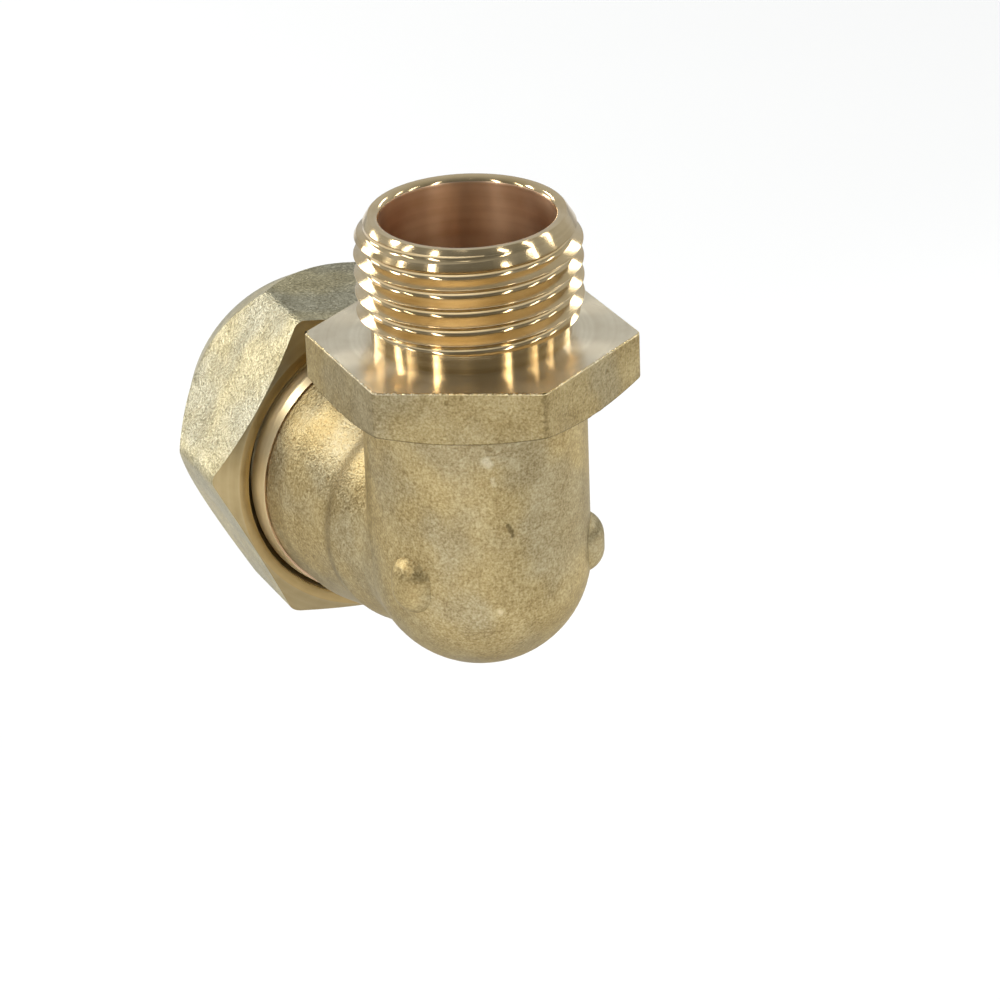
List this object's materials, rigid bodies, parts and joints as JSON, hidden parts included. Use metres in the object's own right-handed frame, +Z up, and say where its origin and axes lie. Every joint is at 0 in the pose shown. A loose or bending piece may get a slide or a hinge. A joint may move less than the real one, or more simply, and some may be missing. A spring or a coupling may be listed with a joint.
{
  "type": "compression elbow",
  "caption": "Forged brass elbow with a male pipe thread above a hexagon flange, and a compression nut on a flared arm that clamps plastic pipe on a sealed stem.",
  "frame": {"origin": "where the axis of the threaded spigot crosses the axis of the pipe end, in the middle of the bend", "axes": "+Z up the spigot and out of its mouth, +Y along the pipe end and out of the nut, +X to the side"},
  "size_m": [0.035, 0.06, 0.0501],
  "materials": {
    "body_brass": "forged and sandblasted, with turned ends",
    "nut_brass": "forged and sandblasted, with a turned face",
    "ring_brass": "turned",
    "seal_rubber": "smooth moulded",
    "washer_plastic": "moulded"
  },
  "bodies": {
    "elbow": {"elbow_body": "body_brass", "inner_seal_ring": "seal_rubber", "outer_seal_ring": "seal_rubber", "insulating_washer": "washer_plastic"},
    "clamp": {"clamp_ring": "ring_brass"},
    "nut": {"compression_nut": "nut_brass"}
  },
  "joints": [
    {"name": "nut_travel", "type": "slide", "parent": "elbow", "child": "clamp", "axis": [0, 1, 0], "range_m": [0, 0.006]},
    {"name": "nut_turn", "type": "hinge", "parent": "clamp", "child": "nut", "pos_m": [0, 0.0314, 0], "axis": [0, 1, 0], "range_deg": [0, 1440]}
  ],
  "couplings": [
    {"joint": "nut_travel", "follows": "nut_turn", "m_per_rad": 0.00023873}
  ]
}
